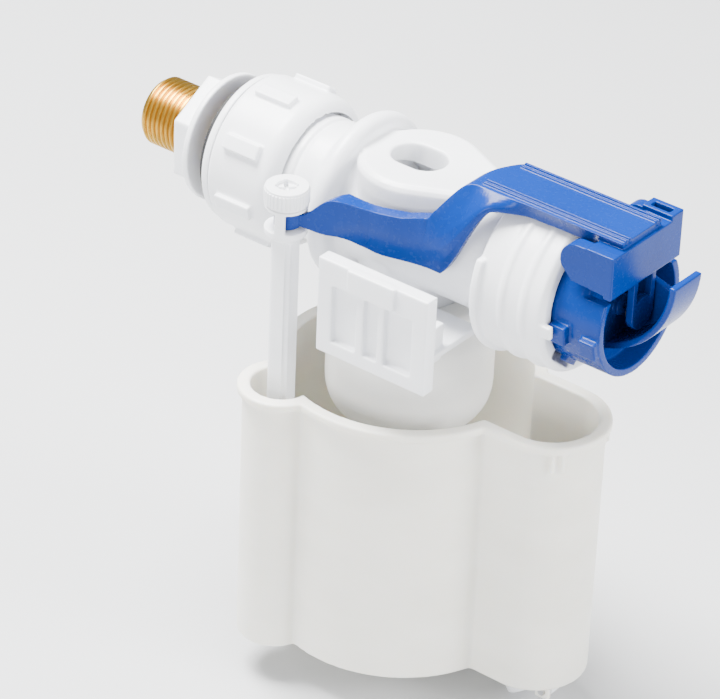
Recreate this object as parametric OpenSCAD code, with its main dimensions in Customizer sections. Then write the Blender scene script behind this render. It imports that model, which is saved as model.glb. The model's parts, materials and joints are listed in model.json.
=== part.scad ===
// Side-entry fill valve for a toilet cistern, standing as it does with the cistern empty:
// float down, lever low, valve open. The origin is on the inlet axis at the inner face of
// the cistern wall. +X runs along the valve towards its head, +Z is up.

/* [Inlet] */
// Crest diameter of the brass inlet thread, G 3/8
thread_d = 16.66; // [16.4:0.02:16.8]
// Pitch of the inlet thread
thread_pitch = 1.337; // [1.30:0.001:1.40]
// Bore through the brass nipple
nipple_bore = 10; // [8:0.5:11]
// How far the nipple stands out from the inner face of the cistern wall
nipple_out = 24.6; // [22:0.2:28]
// Thickness of the cistern wall that the inlet clamps
wall_t = 4; // [3:0.5:6]

/* [Union nut] */
// Outside radius of the union nut between its grip ribs
nut_r = 18.4; // [18.2:0.1:19]
// Where the nut's front face lies along the valve
nut_front = 22.6; // [22.2:0.1:23]
// Number of grip ribs round the nut
nut_ribs = 8; // [6:1:12]

/* [Valve body] */
// Radius of the collar that the nut pulls on
collar_r = 14.4; // [14.2:0.1:14.6]
// Radius of the large round flange behind the collar
flange_r = 20.2; // [19.5:0.1:20.4]
// Radius of the tube between the flange and the head
tube_r = 14; // [13.8:0.1:14.4]
// Radius of the head barrel
head_r = 19.2; // [18.9:0.1:19.4]
// Where the head barrel ends along the valve
head_end = 99; // [98.6:0.1:99.4]
// Centre of the air opening and the outlet along the valve
outlet_x = 50.5; // [50:0.5:51]
// Height of the flat top of the air opening's boss
boss_top = 15.6; // [15.2:0.1:16.4]

/* [Cap and lever] */
// Radius of the bayonet cap
cap_r = 15.2; // [15:0.1:15.4]
// Position of the lever's pivot along the valve
pivot_x = 103.5; // [103:0.1:104]
// Height of the lever's pivot above the valve axis
pivot_z = 15.8; // [15.6:0.1:16]
// Thickness of the lever's walls
lever_t = 1.9; // [1.6:0.1:2]

/* [Float gear] */
// Position of the adjuster along the valve
adjuster_x = 34.2; // [34:0.1:34.6]
// Distance of the adjuster in front of the valve axis
adjuster_y = 26.6; // [26.4:0.1:27]
// Diameter of the knurled adjuster knob
knob_d = 10.4; // [9.8:0.1:10.6]
// Height of the casing's rim
rim_z = -38; // [-39:0.5:-37]
// Depth of the float casing below its rim
casing_h = 68; // [66:1:72]
// Wall thickness of the float casing
casing_t = 1.8; // [1.5:0.1:2.2]

/* [Hidden] */

fine = 96;
small = 40;
// Running gap between bodies that move past each other
gap = 0.3;

white = [0.96, 0.96, 0.97];
warm = [0.93, 0.92, 0.88];
blue = [0.02, 0.24, 0.80];
brass = [0.80, 0.60, 0.24];
rubber = [0.10, 0.10, 0.11];
steel = [0.70, 0.71, 0.73];

// Axial stations, in order along the valve
gasket_t = 2;
socket_t = 1.9;
socket_end = 15;
seal_t = 1.5;
body_start = socket_end + seal_t;
neck_flange_t = 2;
nut_back = gasket_t + socket_t + 0.4;
nut_bore_r = nut_r - 1.9;
nut_lip = body_start + neck_flange_t + 0.1;
bore_r = 11.4;
seat_flange_x = 40;
seat_lip_x = 85.5;
chamber_x = 86;
chamber_r = cap_r + 0.4;
cap_start = 89;
cap_end = 106;
nozzle_end = 107.6;
pad_face = 109.4;
tongue_x = 110.4;
block_end = 113.2;

// Outlet and casing
housing_r = 19.4;
housing_top = -16.5;
housing_bottom = -50;
tube_bore_r = 8;
tube_out_r = 9.6;
tube_end = rim_z - casing_h - 8;
floor_z = rim_z - casing_h;
casing_r = 30.5;
// Spout of the casing, on the side of the valve's head
spout_x = 88;
spout_y = 3;
spout_r = 13;
// Pocket for the spindle, where it leaves the round chamber
pocket_r = 8.8;

// Float, at its middle setting on the spindle
float_top = -72;
float_h = 28;
float_gap = 1.4;
spindle_r = 2.4;
stem_r = 1.3;

// Drain flap, hanging open at its stop
flap_x = 88;
flap_hinge_x = 95;
flap_hinge_z = floor_z - 3.2;
flap_open = 35;
flap_r = 6.2;
drain_r = 4.4;

// ---------- outlines ----------
function arc(cx, cy, r, a0, a1, n) =
  [for (i = [0 : n]) [cx + r * cos(a0 + (a1 - a0) * i / n), cy + r * sin(a0 + (a1 - a0) * i / n)]];
function mix(a, b, t) = a + (b - a) * t;
function ease(t) = t * t * (3 - 2 * t);
// Eases from y0 at x0 to y1 at x1, and stays flat outside that stretch
function step_up(x, x0, x1, y0, y1) = x <= x0 ? y0 : x >= x1 ? y1 : mix(y0, y1, ease((x - x0) / (x1 - x0)));
// Outline round two circles on the X axis of different radius
function teardrop(x1, r1, x2, r2) =
  let (a = acos((r1 - r2) / (x2 - x1)))
  concat(arc(x1, 0, r1, a, 360 - a, 44), arc(x2, 0, r2, -a, a, 24));
// Long outline with round ends
function slot_outline(x0, x1, r) = concat(arc(x1, 0, r, -90, 90, 36), arc(x0, 0, r, 90, 270, 36));
// Rectangle with round corners
function rounded(x0, x1, y0, y1, r) =
  concat(arc(x1 - r, y1 - r, r, 0, 90, 8), arc(x0 + r, y1 - r, r, 90, 180, 8),
    arc(x0 + r, y0 + r, r, 180, 270, 8), arc(x1 - r, y0 + r, r, 270, 360, 8));

// Turns a profile of [radius, position] about the valve axis
module turned(profile) rotate([0, 90, 0]) rotate_extrude($fn = fine) polygon(profile);
module rod_x(x, length, r) translate([x, 0, 0]) rotate([0, 90, 0]) cylinder(h = length, r = r, $fn = fine);
module ring_x(x, length, r_out, r_in) turned([[r_in, x], [r_out, x], [r_out, x + length], [r_in, x + length]]);
module o_ring_x(x, r_mid, r_cord)
  rotate([0, 90, 0]) rotate_extrude($fn = fine) translate([r_mid, x]) circle(r = r_cord, $fn = small);
module block(x0, x1, y0, y1, z0, z1) translate([x0, y0, z0]) cube([x1 - x0, y1 - y0, z1 - z0]);
module ring_z(x, y, z0, z1, r_out, r_in) translate([x, y, z0]) difference() {
  cylinder(h = z1 - z0, r = r_out, $fn = fine);
  translate([0, 0, -1]) cylinder(h = z1 - z0 + 2, r = r_in, $fn = fine);
}
module rod_z(x, y, z0, z1, r) translate([x, y, z0]) cylinder(h = z1 - z0, r = r, $fn = fine);
module rod_y(x, y0, y1, z, r) translate([x, y1, z]) rotate([90, 0, 0]) cylinder(h = y1 - y0, r = r, $fn = small);

// ---------- inlet ----------
thread_depth = 0.62;
nipple_root = thread_d / 2 - thread_depth;
// One ridge for every pitch, crest flat, from start for the given number of turns
function ridges(start, turns, pitch, crest, root) = [for (i = [0 : turns - 1], k = [0 : 3])
  [k == 1 || k == 2 ? crest : root, start + i * pitch + pitch * [0.08, 0.36, 0.56, 0.84][k]]];
nipple_turns = 15;
module inlet_nipple() color(brass) turned(concat(
  [[nipple_bore / 2 + 0.6, -nipple_out], [nipple_root - 0.2, -nipple_out]],
  ridges(-nipple_out + 0.6, nipple_turns, thread_pitch, thread_d / 2, nipple_root),
  [[nipple_root, -gasket_t], [nipple_root, gasket_t + socket_t - 0.4], [10.4, gasket_t + socket_t],
   [10.4, gasket_t + socket_t + 2.2], [nipple_root, gasket_t + socket_t + 2.2], [nipple_root, 13],
   [nipple_bore / 2, 13], [nipple_bore / 2, -nipple_out + 0.6]]));

lock_nut_t = 7;
lock_nut_flats = 24;
module wall_lock_nut() color(white) difference() {
  union() {
    translate([-wall_t - lock_nut_t, 0, 0]) rotate([0, 90, 0])
      cylinder(h = lock_nut_t, d = lock_nut_flats / cos(30), $fn = 6);
    rod_x(-wall_t - 1.6, 1.6, 15.5);
  }
  rod_x(-wall_t - lock_nut_t - 1, lock_nut_t + 2, thread_d / 2 + 0.05);
}

module wall_gasket() color(rubber) ring_x(0, gasket_t, 15.5, thread_d / 2 + 0.1);

socket_turns = 4;
socket_pitch = 2.4;
socket_crest = nut_bore_r - 0.4;
socket_root = socket_crest - 0.9;
module wall_socket() color(white) difference() {
  turned(concat([[nipple_root, gasket_t], [17.4, gasket_t], [17.8, gasket_t + 0.4], [17.8, gasket_t + socket_t],
     [socket_root, gasket_t + socket_t]],
    ridges(gasket_t + socket_t + 0.8, socket_turns, socket_pitch, socket_crest, socket_root),
    [[socket_root, socket_end], [nipple_root, socket_end]]));
  rod_x(gasket_t + socket_t - 0.4, 2.6, 10.4);
}

// ---------- union nut ----------
rib_w = 3.6;
rib_rise = 1.3;
nut_round = 4.2;
module nut_rib(a) rotate([a, 0, 0]) block(nut_back + 3.2, nut_front - 5.2, -rib_w / 2, rib_w / 2,
  nut_r - 0.6, nut_r + rib_rise);
module union_nut() color(white) difference() {
  union() {
    turned(concat([[collar_r + 0.8, nut_back], [nut_r - 0.5, nut_back], [nut_r, nut_back + 0.5]],
      arc(nut_r - nut_round, nut_front - nut_round, nut_round, 0, 78, 12),
      [[collar_r + 0.8, nut_front]]));
    for (i = [0 : nut_ribs - 1]) nut_rib(i * 360 / nut_ribs + 12);
  }
  rod_x(nut_back - 1, nut_lip - nut_back + 1, nut_bore_r);
}

module union_seal() color(rubber) ring_x(socket_end, seal_t, 14.6, 8.4);

strainer_r = 6.6;
strainer_end = 30;
module inlet_strainer() color(white) difference() {
  union() {
    ring_x(body_start + 0.1, 1.2, bore_r - 0.2, strainer_r - 1);
    ring_x(body_start + 1, strainer_end - body_start - 1, strainer_r, strainer_r - 1);
    rod_x(strainer_end - 1, 1, strainer_r);
  }
  for (i = [0 : 3], k = [0 : 3]) rotate([i * 45, 0, 0])
    block(body_start + 2.4 + k * 2.6, body_start + 4 + k * 2.6, -strainer_r - 1, strainer_r + 1, -1, 1);
}

restrictor_x = 33;
module flow_restrictor() color(blue) difference() {
  rod_x(restrictor_x, 3, bore_r - 0.1);
  rod_x(restrictor_x - 1, 5, 3);
  for (i = [0 : 5]) rotate([i * 60, 0, 0]) translate([restrictor_x - 1, 0, 7.6]) rotate([0, 90, 0])
    cylinder(h = 5, r = 1.3, $fn = small);
}

// ---------- valve body ----------
// Angles about the valve axis are measured from the top, through the lever's side
pointer_at = 95;
gaps_at = [140, 320];
boss_r = 14.4;
boss_nose_x = 68;
boss_nose_r = 7;
boss_x = outlet_x + 0.6;
hole_r = 5;
hole_spread = 1.8;
neck_r = 12.6;
neck_end = -24;
head_start = 80.2;
rib_t = 1.9;
rib_out = 1.1;
rib_top = 9;
collar_groove = 24.2;
flange_x0 = 33.6;
flange_x1 = 38.6;
flange_round = (flange_x1 - flange_x0) / 2;
function body_profile() = concat(
  [[bore_r - 1, body_start], [nut_bore_r - 0.4, body_start], [nut_bore_r - 0.4, body_start + neck_flange_t],
   [collar_r, body_start + neck_flange_t], [collar_r, collar_groove], [collar_r - 0.6, collar_groove + 0.3],
   [collar_r - 0.6, collar_groove + 0.9], [collar_r, collar_groove + 1.2], [collar_r, 30.6]],
  [for (i = [0 : 8]) [collar_r + (flange_r - collar_r - 2) * ease(i / 8), 30.6 + 3 * i / 8]],
  arc(flange_r - flange_round, flange_x0 + flange_round, flange_round, -70, 90, 14),
  [[tube_r + 1.5, flange_x1], [tube_r, flange_x1 + 1.5], [tube_r, head_start - 2.5],
   [tube_r + 2.5, head_start], [head_r - 0.8, head_start], [head_r, head_start + 0.8], [head_r, 87], [head_r + 0.45, 87.5], [head_r + 0.45, 88.5], [head_r, 89],
   [head_r, 92.6], [head_r + 0.45, 93.1], [head_r + 0.45, 94.1], [head_r, 94.6], [head_r, head_end - 1.2],
   [head_r - 1.2, head_end], [bore_r - 1, head_end]]);
module air_opening(z0, z1) translate([0, 0, z0]) linear_extrude(z1 - z0)
  polygon(slot_outline(outlet_x - hole_spread, outlet_x + hole_spread, hole_r));
// The boss stands on the tube, with a round edge to its flat top
module air_boss() {
  for (s = [[1.4, 0], [0.6, 0.4], [0, 1.2]]) linear_extrude(boss_top - s[0])
    polygon(teardrop(boss_x, boss_r - s[1], boss_nose_x, boss_nose_r - s[1]));
}
module bayonet_gap(a) rotate([a, 0, 0]) block(head_end - 4, head_end + 1, -4.2, 4.2, chamber_r - 1, chamber_r + 1.6);
module valve_body() color(white) difference() {
  union() {
    turned(body_profile());
    air_boss();
    rod_z(outlet_x, 0, neck_end, -2, neck_r);
    // Rib round the lower part of the head, clear of the lever
    difference() {
      ring_x(head_start, rib_t, head_r + rib_out, tube_r);
      block(head_start - 1, head_start + rib_t + 1, -30, 30, rib_top, 30);
    }
    // Pointer lug that shows the cap's locked position
    rotate([pointer_at, 0, 0]) block(head_end - 3, head_end + 2.2, -1.6, 1.6, head_r - 1.6, head_r - 0.2);
  }
  rod_x(body_start - 1, seat_flange_x - body_start + 1, bore_r);
  rod_x(seat_flange_x - 1, chamber_x - seat_flange_x - 4, bore_r);
  rod_x(chamber_x - 6, 7, bore_r);
  rod_x(chamber_x, head_end - chamber_x + 1, chamber_r);
  rod_z(outlet_x, 0, neck_end - 1, 0, 9);
  air_opening(bore_r - 3, boss_top + 1);
  for (a = gaps_at) bayonet_gap(a);
}

// Guides the supply to the seat; the return flow runs back round the outside to the outlet
module seat_tube() color(white) difference() {
  union() {
    rod_x(seat_flange_x, 3, bore_r - 0.1);
    rod_x(seat_flange_x, seat_lip_x - seat_flange_x - 1.2, 7);
    rod_x(seat_lip_x - 2, 2, 6.4);
    for (i = [0 : 3]) rotate([i * 90 + 45, 0, 0]) block(74, 80, -0.8, 0.8, 0, bore_r - 0.15);
  }
  rod_x(seat_flange_x - 1, seat_lip_x - seat_flange_x + 2, 5.4);
  turned([[bore_r - 1.1, seat_flange_x + 0.9], [bore_r + 1, seat_flange_x + 0.9],
    [bore_r + 1, seat_flange_x + 2.1], [bore_r - 1.1, seat_flange_x + 2.1]]);
}
module seat_tube_ring() color(rubber) o_ring_x(seat_flange_x + 1.5, bore_r - 0.6, 0.55);

// ---------- servo valve ----------
disc_r = 7.4;
disc_x = seat_lip_x + 1.6;
module diaphragm() color(rubber) turned([[disc_r + gap, 87.2], [10, 87.2], [10.4, 86.4], [12, 86.4], [12.4, 87.2],
  [chamber_r - 1.8, 87.2], [chamber_r - 1.8, chamber_x], [chamber_r - 0.1, chamber_x], [chamber_r - 0.1, cap_start],
  [chamber_r - 1.8, cap_start], [chamber_r - 1.8, 88.4], [12.9, 88.4], [12.4, 87.8], [10, 88.4],
  [disc_r + gap, 88.4]]);
module valve_disc() color(white) difference() {
  union() {
    rod_x(disc_x, 1.4, disc_r);
    rod_x(disc_x + 1.3, 2.4, 4.2);
    for (i = [0 : 2]) rotate([i * 120, 0, 0]) block(disc_x - 3.4, disc_x + 0.2, -0.7, 0.7, 3, 4.8);
  }
  rod_x(disc_x - 4, 12, 0.9);
}
module control_pin() color(steel) {
  rod_x(80, 14, 0.45);
  rod_x(80, 0.8, 0.9);
  rotate([90, 0, 0]) block(80, 80.8, -0.5, 0.5, -5.3, 5.3);
}

// ---------- cap ----------
ear_y0 = 4.2;
ear_y1 = 7;
pin_r = 1.6;
pin_y0 = -13.4;
pin_y1 = 9.9;
wing_t = 1.6;
module cap_ear(y0) difference() {
  union() {
    block(pivot_x - 3, pivot_x + 2.4, y0, y0 + ear_y1 - ear_y0, 8, pivot_z);
    rod_y(pivot_x - 0.3, y0, y0 + ear_y1 - ear_y0, pivot_z, 2.7);
  }
  rod_y(pivot_x, y0 - 1, y0 + 4, pivot_z, pin_r + 0.06);
}
// Crescent grip that the fingers turn the cap by
wing_x = 100.4;
wing_z = 12.6;
wing_r = 22.6;
wing_w = 10.2;
wing_y1 = 5.2;
wing_from = -75;
wing_outline = concat(arc(wing_x, wing_z, wing_r, wing_from, -1, 30),
  arc(wing_x, wing_z, wing_r - wing_t, -1, wing_from, 30));
module cap_wing() {
  translate([0, wing_y1, 0]) rotate([90, 0, 0]) linear_extrude(wing_w) polygon(wing_outline);
  // Back wall that ties the grip to the cap
  translate([0, wing_y1 + 1, 0]) rotate([90, 0, 0]) linear_extrude(wing_t) polygon(concat(
    [[cap_end - 2, -8], [cap_end - 2, 7.6], [cap_end + 0.6, 7.6]],
    arc(wing_x, wing_z, wing_r - 0.6, -24, wing_from, 20)));
}
skirt_end = 111.4;
skirt_top = 7.2;
module cap_lug(x0, x1, a, w, rise) rotate([a, 0, 0]) block(x0, x1, -w / 2, w / 2, cap_r - 1.4, cap_r + rise);
module head_cap() color(blue) difference() {
  union() {
    turned([[13.2, cap_start], [cap_r, cap_start], [cap_r, 92.2], [cap_r - 1.3, 92.2], [cap_r - 1.3, 94.4],
      [cap_r, 94.4], [cap_r, cap_end - 1], [cap_r - 1, cap_end], [2.6, cap_end], [2.6, nozzle_end - 0.4],
      [1.6, nozzle_end], [0.5, nozzle_end], [0.5, cap_end - 3], [13.2, cap_end - 3]]);
    for (y = [ear_y0, -ear_y1]) cap_ear(y);
    // Skirt round the lower part of the cap, clear of the lever's end block
    difference() {
      ring_x(cap_end - 2, skirt_end - cap_end + 2, cap_r, cap_r - 1.8);
      block(cap_end - 1, skirt_end + 1, -cap_r - 1, cap_r + 1, skirt_top, cap_r + 1);
    }
    cap_lug(head_end + 0.5, head_end + 4.6, 98, 4.6, 1.9);
    cap_lug(head_end + 8, head_end + 12.2, 102, 4.4, 1.6);
    cap_lug(head_end + 0.4, head_end + 2, 142, 5, 1.2);
    for (a = [278, 302]) cap_lug(head_end + 0.6, head_end + 4.2, a, 4.4, 1.4);
    cap_wing();
  }
  rod_x(cap_start - 1, cap_end - 3 - cap_start + 1, 13.2);
  // Groove across the cap under the pin
  rod_y(pivot_x, -ear_y1 - 3, ear_y1 + 3, pivot_z, pin_r + 0.06);
}
module cap_ring() color(rubber) o_ring_x(93.3, cap_r - 0.55, 0.85);
module pivot_pin() color(steel) rod_y(pivot_x, pin_y0, pin_y1, pivot_z, pin_r);

// ---------- lever ----------
// Height and half thickness of the disc at the lever's tip
tip_z = 5.6;
tip_half = 2;
// The disc starts this far inboard of the spindle, and ends as far outboard
tip_lead = 0.4;
plate_front_y = -9.6;
plate_back_y = 4;
plate_z = 21.8;
skirt_h = 3.3;
// Front face of the lever at its underside and at its top edge, seen from above
function front_low(x) = x < 52 ? step_up(x, 34, 54, -27.4, -20.6) : x < 70 ? step_up(x, 50, 68, -20.6, -17.4)
  : step_up(x, 70, 90, -17.4, plate_front_y);
function front_top(x) = x < 52 ? front_low(x) : x < 65 ? step_up(x, 50, 66, -20.6, -16.6)
  : step_up(x, 64, 75, -16.6, plate_front_y - 1);
// Rear end of the top flange, seen from above
function flange_back(x) = x < 46 ? step_up(x, 42.4, 45.4, front_top(42.4), -18.4)
  : x < 68 ? step_up(x, 46, 66, -18.4, -13.2) : step_up(x, 66.5, 77, -13.2, plate_back_y);
// Top edge and underside of the lever, seen from the side
function lever_top(x) = x < 46 ? step_up(x, 37.6, 44.6, tip_z + 1.4, 12) : x < 60 ? step_up(x, 45, 54, 12, 11)
  : x < 66 ? step_up(x, 58, 68, 11, 12.8) : step_up(x, 63.4, 73, 12, plate_z);
function lever_low(x) = x < 46 ? step_up(x, 37.6, 44, tip_z - 1.4, 3) : x < 71 ? step_up(x, 45, 56, 3, 0.8)
  : step_up(x, 69.5, 80.5, 0.8, plate_z - skirt_h);
web_steps = 6;
// How far the web bulges forward between its edges, to follow the round head behind it
function web_bulge(x) = x < 76 ? step_up(x, 62, 74, 0, 2.6) : step_up(x, 76, 88, 2.6, 0);
// One cross-section of the lever at x: the web with a flange along its top, as an angle
function lever_section(x) = let (
  t = lever_t, zl = lever_low(x), zt = lever_top(x), yl = front_low(x), yt = front_top(x), bow = web_bulge(x))
  concat([for (i = [0 : web_steps]) let (u = i / web_steps)
      [x, mix(yl, yt, u * u * (1.4 - 0.4 * u)) - bow * sin(180 * u) * 0.4, mix(zl, zt, u)]],
    [[x, max(yt + t + 0.5, flange_back(x)), zt], [x, max(yt + t + 0.5, flange_back(x)), zt - min(t, (zt - zl) * 0.6)]],
    [for (i = [web_steps : -1 : 0]) let (u = i / web_steps)
      [x, mix(yl, yt, u * u * (1.4 - 0.4 * u)) - bow * sin(180 * u) * 0.4 + t,
        mix(zl, zt - min(t, (zt - zl) * 0.6), u)]]);
lever_stations = concat([for (x = [36.5 : 0.8 : 46]) x], [for (x = [47 : 1.8 : 62]) x],
  [for (x = [63 : 0.8 : 88]) x], [96, 104, 112.4]);
module lever_arm() {
  sections = [for (x = lever_stations) lever_section(x)];
  n = len(sections[0]);
  m = len(sections);
  // Each end is closed by quads across the web and one across the flange
  ends = concat([for (i = [0 : web_steps - 1]) [i, i + 1, n - 2 - i, n - 1 - i]],
    [[web_steps, web_steps + 1, web_steps + 2, web_steps + 3]]);
  polyhedron(points = [for (s = sections, p = s) p], faces = concat(
    [for (e = ends) [e[3], e[2], e[1], e[0]]],
    [for (j = [0 : m - 2], i = [0 : n - 1]) [j * n + i, j * n + (i + 1) % n, (j + 1) * n + i]],
    [for (j = [0 : m - 2], i = [0 : n - 1]) [j * n + (i + 1) % n, (j + 1) * n + (i + 1) % n, (j + 1) * n + i]],
    [for (e = ends) [for (i = e) (m - 1) * n + i]]), convexity = 6);
}
// Pairs of thin beads along both edges of the top plate
bead_w = 0.7;
// The front pair starts a little nearer the float than the rear pair
function bead_x(y) = y < 0 ? 74.5 : 76.5;
beads_y = [plate_front_y + 0.1, plate_front_y + 1.5, plate_back_y - 2.2, plate_back_y - 0.8];
module lever_beads() for (y = beads_y)
  block(bead_x(y), block_end - 0.6, y, y + bead_w, plate_z - 0.5, plate_z + 0.5);
// Disc at the lever's tip that sits in the hanger's cage
module lever_tip() difference() {
  rod_z(adjuster_x + tip_lead, -adjuster_y, tip_z - tip_half, tip_z + tip_half, 3.1);
  rod_z(adjuster_x + tip_lead, -adjuster_y, tip_z - 3, tip_z + 3, 2.2);
}
// The end block: a cheek on each side of the cap, and a tall end wall
block_y0 = -14.8;
block_y1 = 11.4;
cheek_in0 = -11.3;
cheek_in1 = 8.2;
block_top = 20.2;
block_low = 9.8;
function cheek_outline(low) = concat(arc(pivot_x + 0.2, pivot_z, 4.2, 90, 210, 16),
  [[pivot_x - 0.6, low], [block_end - 1, low - 0.6], [block_end, low], [block_end, block_top]]);
module cheek(y0, y1, low) translate([0, y1, 0]) rotate([90, 0, 0])
  linear_extrude(y1 - y0) polygon(cheek_outline(low));
module lever_block() difference() {
  union() {
    cheek(block_y0, cheek_in0, 11);
    cheek(cheek_in1, block_y1, 13.6);
    // End wall across the block, with the top edge tied to the plate
    block(block_end - 2, block_end, block_y0, block_y1, block_low, block_top);
    block(pivot_x + 2.6, block_end, block_y0, block_y1, block_top - 1.8, block_top);
    // Rear pocket that stiffens the far corner
    block(block_end - 8, block_end, block_y1 - 4.4, block_y1, 14, block_top + 1.2);
  }
  rod_y(pivot_x, pin_y0 - 0.2, pin_y1 + 0.2, pivot_z, pin_r + 0.02);
  block(block_end - 6.6, block_end - 1.6, block_y1 - 3.2, block_y1 - 1.4, 18, 23);
}
// Tongue that carries the pad in front of the pilot orifice
module lever_tongue() difference() {
  union() {
    for (y = [2.6, -4]) block(tongue_x, tongue_x + 1.8, y, y + 1.4, -1, 19.4);
    rod_x(tongue_x, 1.8, 4);
  }
  rod_x(tongue_x - 1, 1.8, 2.7);
}
module float_lever() color(blue) {
  lever_arm();
  lever_beads();
  lever_tip();
  lever_block();
  lever_tongue();
}
module pilot_pad() color(rubber) rod_x(pad_face, tongue_x + 0.8 - pad_face, 2.65);

// ---------- float gear ----------
cage_r = 4.9;
cage_in = 3.9;
cup_z = 1.6;
cage_floor = 3.1;
cage_top = 8;
hanger_end = -58;
post_angles = [-70, 60, 145];
module hanger_rib(w, d) translate([adjuster_x - w / 2, -adjuster_y - d / 2, hanger_end])
  cube([w, d, cup_z + 0.4 - hanger_end]);
module float_hanger() color(white) difference() {
  union() {
    translate([adjuster_x, -adjuster_y, cup_z - 1.4]) cylinder(h = 1.4, r1 = 3.2, r2 = cage_r, $fn = fine);
    rod_z(adjuster_x, -adjuster_y, cup_z, cage_floor, cage_r);
    rod_z(adjuster_x, -adjuster_y, cage_top, cage_top + 0.7, cage_r);
    intersection() {
      ring_z(adjuster_x, -adjuster_y, cage_floor - 0.2, cage_top + 0.2, cage_r, cage_in);
      union() for (a = post_angles) translate([adjuster_x, -adjuster_y, 0]) rotate([0, 0, a])
        block(0, 8, -1.2, 1.2, 0, 12);
    }
    // Ribbed rod: a core with a flange on each face
    hanger_rib(3.6, 4.8);
    hanger_rib(5.8, 1.3);
    for (s = [-1, 1]) translate([s * 2.2, 0, 0]) hanger_rib(1.2, 3.4);
  }
  rod_z(adjuster_x, -adjuster_y, hanger_end - 1, cage_top + 2, stem_r + gap);
}
spindle_end = floor_z + 6;
spindle_top = -62;
spindle_pitch = 2.5;
spindle_turns = 14;
knob_base = 8.95;
knob_h = 4.4;
module adjuster_spindle() color(white) translate([adjuster_x, -adjuster_y, 0]) rotate_extrude($fn = small)
  polygon(concat([[0, spindle_end], [spindle_r - 0.6, spindle_end]],
    ridges(spindle_end + 0.4, spindle_turns, spindle_pitch, spindle_r, spindle_r - 0.6),
    [[stem_r, spindle_top], [stem_r, knob_base + 2], [0, knob_base + 2]]));
knurls = 36;
// Fluted edge of the knob: the radius rises and falls once for every knurl
function knurl_outline() = [for (i = [0 : knurls * 4 - 1])
  let (a = i * 90 / knurls, r = knob_d / 2 - ((i % 4 < 2) ? 0 : 0.22)) [r * cos(a), r * sin(a)]];
module adjuster_knob() color(white) translate([adjuster_x, -adjuster_y, knob_base]) difference() {
  union() {
    cylinder(h = knob_h, r = knob_d / 2 - 0.3, $fn = fine);
    translate([0, 0, 0.5]) linear_extrude(knob_h - 1.1) polygon(knurl_outline());
  }
  translate([0, 0, -1]) cylinder(h = 3, r = stem_r, $fn = small);
  // Cross slot for a screwdriver in a round dish
  translate([0, 0, knob_h - 0.8]) cylinder(h = 2, r = 2.3, $fn = small);
  for (a = [45, 135]) rotate([0, 0, a]) translate([-2.6, -0.5, knob_h - 1.8]) cube([5.2, 1, 3]);
}

// Seen from above: a round chamber about the outlet, a spout towards the head, a pocket for the spindle
module casing_area(inset) {
  translate([outlet_x, 0]) circle(r = casing_r - inset, $fn = fine);
  translate([0, spout_y]) polygon(slot_outline(outlet_x, spout_x, spout_r - inset));
  translate([adjuster_x, -adjuster_y]) circle(r = pocket_r - inset, $fn = fine);
}
module float_block() color(white) difference() {
  translate([0, 0, float_top - float_h]) linear_extrude(float_h) casing_area(casing_t + float_gap);
  // Way through for the discharge tube
  rod_z(outlet_x, 0, float_top - float_h - 1, float_top + 1, 13.6);
  rod_z(adjuster_x, -adjuster_y, float_top - float_h - 1, float_top + 1, spindle_r + gap);
  // Clears the drain in the spout's floor
  translate([0, 0, float_top - float_h - 1]) linear_extrude(5) polygon(rounded(79, 104, -12, 17, 3));
}
rim_w = 1.3;
rim_h = 2;
module float_casing() color(warm) difference() {
  union() {
    translate([0, 0, floor_z]) linear_extrude(casing_h) casing_area(0);
    translate([0, 0, rim_z - rim_h]) linear_extrude(rim_h) casing_area(-rim_w);
    rod_z(outlet_x, 0, floor_z - 3, floor_z + 1, tube_out_r + 3);
    // Small ribs under the rim at the right-hand end
    for (a = [-50, -40, 40, 50]) translate([spout_x, spout_y, 0]) rotate([0, 0, a])
      block(spout_r - 0.5, spout_r + 1, -0.5, 0.5, rim_z - 7, rim_z - 1);
    // Ears for the drain flap's hinge
    for (y = [spout_y - 5.6, spout_y + 4.2]) block(flap_hinge_x - 2, flap_hinge_x + 2, y, y + 1.4,
      flap_hinge_z - 2, floor_z + 0.5);
  }
  translate([0, 0, floor_z + casing_t]) linear_extrude(casing_h) casing_area(casing_t);
  rod_z(outlet_x, 0, floor_z - 4, floor_z + 4, tube_out_r + 0.05);
  rod_z(flap_x, spout_y, floor_z - 4, floor_z + 4, drain_r);
  rod_y(flap_hinge_x, spout_y - 7, spout_y + 7, flap_hinge_z, 0.85);
}

// ---------- outlet ----------
shoulder_z = -41;
module housing_shell() translate([outlet_x, 0, 0]) rotate_extrude($fn = fine) polygon(concat(
  [[neck_r + 0.05, housing_top], [housing_r - 1, housing_top], [housing_r, housing_top - 1]],
  [for (i = [0 : 8]) [housing_r - (housing_r - 13) * (1 - cos(90 * i / 8)), mix(shoulder_z, housing_bottom, sin(90 * i / 8))]],
  [[13, -54], [11.4, -54], [11.4, housing_bottom + 0.5]],
  [for (i = [8 : -1 : 0]) [housing_r - 1.8 - (housing_r - 13.2) * (1 - cos(90 * i / 8)),
    mix(shoulder_z, housing_bottom + 1.6, sin(90 * i / 8))]],
  [[housing_r - 1.8, housing_top - 2], [neck_r + 0.05, housing_top - 2]]));
// The shell is notched for the round flange above it
module outlet_housing() color(white) difference() {
  housing_shell();
  rod_x(flange_x0 - 3, flange_x1 - flange_x0 + 4.8, flange_r + 0.3);
}
module discharge_tube() color(white) translate([outlet_x, 0, 0]) rotate_extrude($fn = fine) polygon(
  [[tube_bore_r, tube_end], [tube_out_r, tube_end], [tube_out_r, -55], [11.35, -53], [11.35, -46],
   [9.8, -46], [9.8, -52], [tube_bore_r, -54]]);
module tube_seal() color(rubber) translate([outlet_x, 0, floor_z - 3.9]) difference() {
  cylinder(h = 0.9, r = tube_out_r + 2.4, $fn = fine);
  translate([0, 0, -1]) cylinder(h = 3, r = tube_out_r, $fn = fine);
}

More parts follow.
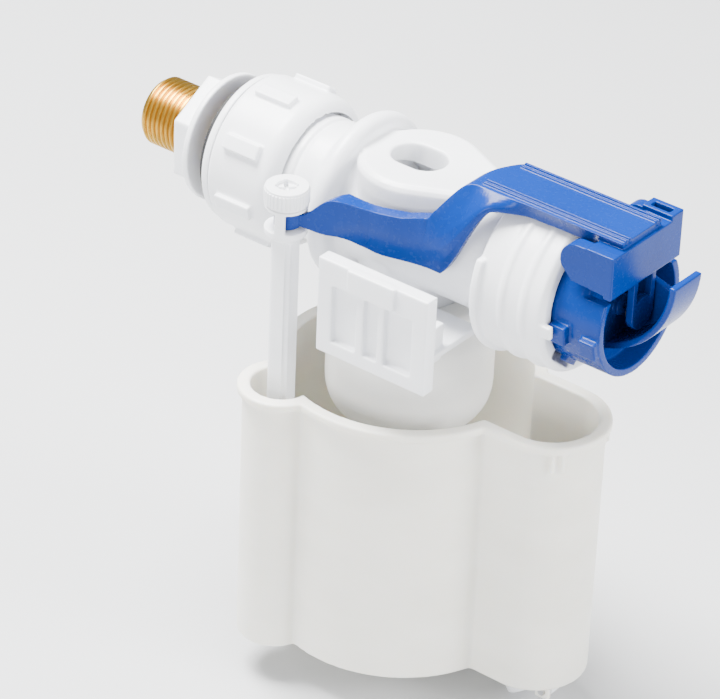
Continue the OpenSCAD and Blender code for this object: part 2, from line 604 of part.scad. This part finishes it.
// ---------- bracket ----------
plate_x0 = 46.4;
plate_x1 = 76.6;
plate_top = 1.6;
plate_h = 24;
plate_front = -30.2;
plate_back = -26.6;
// Left and right edge of each window
windows = [[50.4, 57.2], [59.3, 63.2], [65, 72.6]];
window_d = 1.8;
module bracket_plate() color(white) difference() {
  union() {
    block(plate_x0, plate_x1, plate_front, plate_back, plate_top - plate_h, plate_top);
    // Raised tab in the middle of the top edge
    block(55, 68, plate_front - 0.9, plate_front + 1, plate_top - 5.5, plate_top + 0.2);
    // Shelf and two gussets that carry the plate from the outlet housing
    block(52, 75, plate_back - 0.5, -8, housing_top, housing_top + 1.6);
    for (x = [53, 72]) block(x, x + 1.8, plate_back - 0.5, -20.2, plate_top - plate_h + 4, housing_top + 0.5);
    block(72, 74, plate_back - 0.5, -20, -16, -9);
  }
  // Hollow back
  block(plate_x0 + 1.6, plate_x1 - 1.6, plate_back - 0.9, plate_back + 1.2, plate_top - plate_h + 1.6, housing_top - 0.8);
  block(plate_x0 + 1.6, plate_x1 - 1.6, plate_back - 0.9, plate_back + 1.2, -9, plate_top - 1.6);
  // Three recessed windows in the face
  for (w = windows) block(w[0], w[1], plate_front - 1, plate_front + window_d,
    plate_top - plate_h + 3.4, plate_top - 6.2);
  rod_z(outlet_x, 0, -20, -10, neck_r + 0.3);
}

// ---------- drain flap ----------
module drain_flap() color(white) translate([flap_hinge_x, spout_y, flap_hinge_z]) rotate([0, -flap_open, 0])
  translate([-flap_hinge_x, 0, -flap_hinge_z]) difference() {
    union() {
      rod_z(flap_x, 0, floor_z - 2, floor_z - 0.4, flap_r);
      block(flap_x, flap_hinge_x, -2.6, 2.6, floor_z - 2, floor_z - 0.8);
      rod_y(flap_hinge_x, -3.8, 3.8, flap_hinge_z, 1.8);
      block(flap_hinge_x - 2, flap_hinge_x, -2.6, 2.6, flap_hinge_z, floor_z - 1);
    }
    rod_y(flap_hinge_x, -5, 5, flap_hinge_z, 0.85 + 0.06);
  }
module flap_pin() color(steel) rod_y(flap_hinge_x, spout_y - 5.9, spout_y + 5.9, flap_hinge_z, 0.83);

inlet_nipple();
wall_lock_nut();
wall_gasket();
wall_socket();
union_nut();
union_seal();
inlet_strainer();
flow_restrictor();
valve_body();
seat_tube();
seat_tube_ring();
diaphragm();
valve_disc();
control_pin();
head_cap();
cap_ring();
pivot_pin();
float_lever();
pilot_pad();
float_hanger();
adjuster_spindle();
adjuster_knob();
float_block();
float_casing();
outlet_housing();
discharge_tube();
tube_seal();
bracket_plate();
drain_flap();
flap_pin();
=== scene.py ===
"""Looks of the toilet fill valve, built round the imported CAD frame."""
import json
import math

import bmesh
import bpy
from mathutils import Matrix, Vector


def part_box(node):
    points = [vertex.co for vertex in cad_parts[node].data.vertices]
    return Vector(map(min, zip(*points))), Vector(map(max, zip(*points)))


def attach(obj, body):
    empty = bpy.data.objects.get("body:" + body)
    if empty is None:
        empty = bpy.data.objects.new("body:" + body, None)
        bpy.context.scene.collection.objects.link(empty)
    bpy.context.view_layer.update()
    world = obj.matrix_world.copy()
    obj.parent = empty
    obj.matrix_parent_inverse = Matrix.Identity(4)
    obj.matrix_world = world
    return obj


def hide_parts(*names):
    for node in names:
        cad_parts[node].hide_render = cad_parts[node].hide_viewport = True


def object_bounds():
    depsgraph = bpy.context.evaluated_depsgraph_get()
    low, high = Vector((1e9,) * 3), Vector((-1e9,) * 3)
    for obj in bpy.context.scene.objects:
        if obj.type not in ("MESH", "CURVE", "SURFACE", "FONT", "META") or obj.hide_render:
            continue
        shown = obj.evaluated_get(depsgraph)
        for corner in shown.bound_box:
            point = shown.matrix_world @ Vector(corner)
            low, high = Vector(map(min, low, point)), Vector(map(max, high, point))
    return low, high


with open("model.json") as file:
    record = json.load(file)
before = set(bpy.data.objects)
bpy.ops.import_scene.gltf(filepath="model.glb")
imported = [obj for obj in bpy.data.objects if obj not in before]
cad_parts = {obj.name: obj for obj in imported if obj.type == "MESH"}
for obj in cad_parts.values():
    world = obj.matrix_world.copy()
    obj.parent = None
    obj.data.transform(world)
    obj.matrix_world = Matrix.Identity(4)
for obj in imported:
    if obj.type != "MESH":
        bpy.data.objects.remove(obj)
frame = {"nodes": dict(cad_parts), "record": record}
cad_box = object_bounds()
NODES = frame["nodes"]
BODY_OF = {n: b for b, ns in frame["record"]["behaviour"]["bodies"].items() for n in ns}
MM = 0.001


# ---------- materials ----------
def new_material(name):
    """A material, its node tree, its shader, and the object coordinates to build on."""
    mat = bpy.data.materials.new(name)
    mat.use_nodes = True
    tree = mat.node_tree
    shader = tree.nodes["Principled BSDF"]
    coords = tree.nodes.new("ShaderNodeTexCoord")
    return mat, tree, shader, coords.outputs["Object"]


def noise(tree, coords, scale, detail=3.0, rough=0.5, stretch=None):
    """Noise over the object's own coordinates, stretched along an axis if asked."""
    tex = tree.nodes.new("ShaderNodeTexNoise")
    tex.inputs["Scale"].default_value = scale
    tex.inputs["Detail"].default_value = detail
    tex.inputs["Roughness"].default_value = rough
    if stretch:
        place = tree.nodes.new("ShaderNodeMapping")
        place.inputs["Scale"].default_value = stretch
        tree.links.new(coords, place.inputs["Vector"])
        tree.links.new(place.outputs["Vector"], tex.inputs["Vector"])
    else:
        tree.links.new(coords, tex.inputs["Vector"])
    return tex.outputs["Fac"]


def ramp(tree, fac, stops):
    """Colour ramp from a list of (position, colour)."""
    node = tree.nodes.new("ShaderNodeValToRGB")
    while len(node.color_ramp.elements) < len(stops):
        node.color_ramp.elements.new(0.5)
    for element, (where, colour) in zip(node.color_ramp.elements, stops):
        element.position = where
        element.color = (*colour, 1.0)
    tree.links.new(fac, node.inputs["Fac"])
    return node.outputs["Color"]


def to_range(tree, fac, low, high):
    """Maps noise from its usual spread to low..high."""
    node = tree.nodes.new("ShaderNodeMapRange")
    node.inputs["From Min"].default_value = 0.3
    node.inputs["From Max"].default_value = 0.7
    node.inputs["To Min"].default_value = low
    node.inputs["To Max"].default_value = high
    tree.links.new(fac, node.inputs["Value"])
    return node.outputs["Result"]


def add_bump(tree, shader, heights, distance):
    """Chains one bump for each (height, strength)."""
    last = None
    for height, strength in heights:
        node = tree.nodes.new("ShaderNodeBump")
        node.inputs["Strength"].default_value = strength
        node.inputs["Distance"].default_value = distance
        tree.links.new(height, node.inputs["Height"])
        if last:
            tree.links.new(last, node.inputs["Normal"])
        last = node.outputs["Normal"]
    tree.links.new(last, shader.inputs["Normal"])


def plastic(name, colour, shade, rough, sss, radius, gloss=0.5, grain=0.12):
    """Moulded plastic: faint flow tone, satin skin with a fine grain, and light inside it."""
    mat, tree, shader, at = new_material(name)
    flow = noise(tree, at, 55.0, 4.0, 0.55, (0.5, 1.0, 1.4))
    skin = noise(tree, at, 900.0, 3.0, 0.6)
    wave = noise(tree, at, 130.0, 2.0, 0.5)
    tree.links.new(ramp(tree, flow, [(0.32, shade), (0.62, colour)]), shader.inputs["Base Color"])
    tree.links.new(to_range(tree, skin, rough - 0.05, rough + 0.07), shader.inputs["Roughness"])
    shader.inputs["Subsurface Weight"].default_value = sss
    shader.inputs["Subsurface Radius"].default_value = radius
    shader.inputs["Subsurface Scale"].default_value = 0.002
    shader.inputs["Specular IOR Level"].default_value = gloss
    add_bump(tree, shader, [(skin, grain), (wave, grain * 0.8)], 0.0002)
    return mat


def metal(name, colour, shade, rough, stretch, grain):
    """Turned metal with fine tool marks round the part and darker tarnish in patches."""
    mat, tree, shader, at = new_material(name)
    marks = noise(tree, at, 1400.0, 3.0, 0.6, stretch)
    patch = noise(tree, at, 160.0, 4.0, 0.6)
    tree.links.new(ramp(tree, patch, [(0.35, shade), (0.65, colour)]), shader.inputs["Base Color"])
    tree.links.new(to_range(tree, patch, rough + 0.12, rough - 0.04), shader.inputs["Roughness"])
    shader.inputs["Metallic"].default_value = 1.0
    add_bump(tree, shader, [(marks, grain)], 0.00012)
    return mat


def rubber(name):
    """Black sealing rubber with a matte moulded skin."""
    mat, tree, shader, at = new_material(name)
    skin = noise(tree, at, 1200.0, 4.0, 0.65)
    bloom = noise(tree, at, 110.0, 4.0, 0.6)
    tree.links.new(ramp(tree, bloom, [(0.3, (0.012, 0.012, 0.013)), (0.7, (0.03, 0.03, 0.032))]),
                   shader.inputs["Base Color"])
    tree.links.new(to_range(tree, skin, 0.55, 0.75), shader.inputs["Roughness"])
    shader.inputs["Specular IOR Level"].default_value = 0.35
    add_bump(tree, shader, [(skin, 0.3)], 0.0002)
    return mat


WHITE = plastic("white_moulded", (0.83, 0.84, 0.86), (0.79, 0.80, 0.825), 0.34, 0.25, (0.9, 0.9, 1.0))
# Float casing and float: whole parts tinted beige, a painted shade that stands in for the shaded,
# light-filled inside of the translucent cup
SHADE_BEIGE = plastic("shade_beige_moulded", (0.80, 0.785, 0.72), (0.75, 0.735, 0.665), 0.42, 0.5, (1.0, 0.85, 0.6),
               grain=0.10)
SATIN = plastic("housing_moulded", (0.82, 0.815, 0.79), (0.775, 0.77, 0.74), 0.38, 0.35,
                (1.0, 0.9, 0.75))
BLUE = plastic("blue_moulded", (0.0, 0.024, 0.185), (0.0, 0.021, 0.165), 0.24, 0.0, (0.3, 0.5, 1.0),
               gloss=0.16, grain=0.02)
BRASS = metal("turned_brass", (0.56, 0.33, 0.05), (0.40, 0.22, 0.03), 0.27, (1.0, 0.05, 0.05), 0.25)
STEEL = metal("drawn_steel", (0.62, 0.62, 0.63), (0.50, 0.50, 0.52), 0.28, (0.1, 1.0, 1.0), 0.15)
RUBBER = rubber("seal_rubber")

FINISH = {
    "inlet_nipple": BRASS, "wall_gasket": RUBBER, "union_seal": RUBBER, "seat_tube_ring": RUBBER,
    "diaphragm": RUBBER, "cap_ring": RUBBER, "pilot_pad": RUBBER, "tube_seal": RUBBER,
    "control_pin": STEEL, "pivot_pin": STEEL, "flap_pin": STEEL,
    "head_cap": BLUE, "float_lever": BLUE, "flow_restrictor": BLUE,
    "float_casing": SHADE_BEIGE, "outlet_housing": SATIN, "float_block": SHADE_BEIGE,
}


def set_finish(obj, mat):
    """One material on the whole object, by its slots."""
    if not obj.data.materials:
        obj.data.materials.append(mat)
    for i in range(len(obj.data.materials)):
        obj.data.materials[i] = mat


# ---------- moulded shapes ----------
def moulded(node, voxel, rounds):
    """A copy of a CAD node with the soft edges of a moulding. It replaces the node on the same body."""
    piece = bpy.data.objects.new(node + "_moulded", NODES[node].data.copy())
    bpy.context.scene.collection.objects.link(piece)
    mesh = bmesh.new()
    mesh.from_mesh(piece.data)
    bmesh.ops.remove_doubles(mesh, verts=mesh.verts, dist=0.004 * MM)
    mesh.to_mesh(piece.data)
    mesh.free()
    remesh = piece.modifiers.new("skin", "REMESH")
    remesh.mode = "VOXEL"
    remesh.voxel_size = voxel * MM
    smooth = piece.modifiers.new("soft_edges", "SMOOTH")
    smooth.factor = 0.5
    smooth.iterations = rounds
    bpy.context.view_layer.update()
    shaped = bpy.data.meshes.new_from_object(piece.evaluated_get(bpy.context.evaluated_depsgraph_get()))
    piece.modifiers.clear()
    piece.data = shaped
    for face in piece.data.polygons:
        face.use_smooth = True
    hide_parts(node)
    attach(piece, BODY_OF[node])
    return piece


SHAPES = {
    # node: voxel in mm, rounds of smoothing
    "valve_body": (0.34, 7),
    "union_nut": (0.30, 7),
    "wall_socket": (0.30, 4),
    "wall_lock_nut": (0.32, 5),
    "head_cap": (0.24, 5),
    "float_lever": (0.17, 4),
    "float_hanger": (0.20, 4),
    "adjuster_knob": (0.08, 2),
    "bracket_plate": (0.24, 5),
    "outlet_housing": (0.34, 5),
    "float_casing": (0.42, 6),
    "drain_flap": (0.22, 4),
    "discharge_tube": (0.34, 4),
}
for node, (voxel, rounds) in SHAPES.items():
    set_finish(moulded(node, voxel, rounds), FINISH.get(node, WHITE))
for node, obj in NODES.items():
    set_finish(obj, FINISH.get(node, WHITE))


# ---------- stage, light and camera ----------
low, high = (Vector(v) for v in cad_box)


AZIMUTH, ELEVATION, ROLL = math.radians(37.0), math.radians(32.0), math.radians(-2.45)


def backdrop():
    """Pale floor that curves up far behind the part."""
    floor = bpy.data.meshes.new("floor")
    front, bend_at, bend, top = -2.2, 1.2, 0.8, 2.4
    curve = [(bend_at + bend * math.sin(math.radians(a)), bend - bend * math.cos(math.radians(a)))
             for a in range(15, 91, 15)]
    rows = [(front, 0.0), (bend_at, 0.0)] + curve + [(bend_at + bend, top)]
    turn = Matrix.Rotation(AZIMUTH, 3, "Z")
    points = [turn @ Vector((x, y, z)) for y, z in rows for x in (-3.0, 3.0)]
    drop = low.z - 0.0004
    floor.from_pydata([(p.x, p.y, p.z + drop) for p in points], [],
                      [(2 * i, 2 * i + 1, 2 * i + 3, 2 * i + 2) for i in range(len(rows) - 1)])
    obj = bpy.data.objects.new("floor", floor)
    bpy.context.scene.collection.objects.link(obj)
    for face in floor.polygons:
        face.use_smooth = True
    mat, tree, shader, at = new_material("pale_floor")
    tone = noise(tree, at, 6.0, 3.0, 0.5)
    tree.links.new(ramp(tree, tone, [(0.3, (0.53, 0.535, 0.54)), (0.7, (0.56, 0.565, 0.57))]),
                   shader.inputs["Base Color"])
    shader.inputs["Roughness"].default_value = 0.7
    floor.materials.append(mat)


def area_light(name, at, aim, size, watts):
    """Soft rectangular light that looks from at to aim."""
    data = bpy.data.lights.new(name, "AREA")
    data.shape = "RECTANGLE"
    data.size, data.size_y = size
    data.energy = watts
    obj = bpy.data.objects.new(name, data)
    bpy.context.scene.collection.objects.link(obj)
    obj.location = at
    obj.rotation_euler = (Vector(aim) - Vector(at)).to_track_quat("-Z", "Y").to_euler()


backdrop()
middle = (low + high) / 2
LIGHTS = {
    # light: place from the middle of the part, size, watts
    "key": ((-0.30, -0.05, 0.75), (0.42, 0.42), 42.0),
    "front_fill": ((0.05, -0.85, 0.25), (0.5, 0.3), 6.0),
    "side_fill": ((0.85, 0.15, 0.35), (0.35, 0.35), 13.0),
}
for name, (offset, size, watts) in LIGHTS.items():
    area_light(name, middle + Vector(offset), middle, size, watts)
world = bpy.data.worlds.new("studio")
world.use_nodes = True
world.node_tree.nodes["Background"].inputs["Color"].default_value = (0.93, 0.95, 1.0, 1.0)
world.node_tree.nodes["Background"].inputs["Strength"].default_value = 0.85
bpy.context.scene.world = world

# The camera looks at the head's end from above and turns a little about its own axis
right = Vector((math.cos(AZIMUTH), math.sin(AZIMUTH), 0))
back = Vector((math.sin(AZIMUTH) * math.cos(ELEVATION), -math.cos(AZIMUTH) * math.cos(ELEVATION),
               math.sin(ELEVATION)))
up = back.cross(right)
right, up = right * math.cos(ROLL) - up * math.sin(ROLL), right * math.sin(ROLL) + up * math.cos(ROLL)
lens = bpy.data.cameras.new("camera")
lens.lens = 200.0
lens.sensor_width = 36.0
lens.clip_end = 20.0
camera = bpy.data.objects.new("camera", lens)
bpy.context.scene.collection.objects.link(camera)
nipple_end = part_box("inlet_nipple")[0].x
# From the inlet's end: across and down to the middle of the view, and back to the camera
ACROSS, DOWN, DISTANCE = 0.04614, 0.05619, 0.9346
place = Vector((nipple_end, 0, 0)) + right * ACROSS - up * DOWN + back * DISTANCE
camera.matrix_world = Matrix.Translation(place) @ Matrix((right, up, back)).transposed().to_4x4()
bpy.context.scene.camera = camera
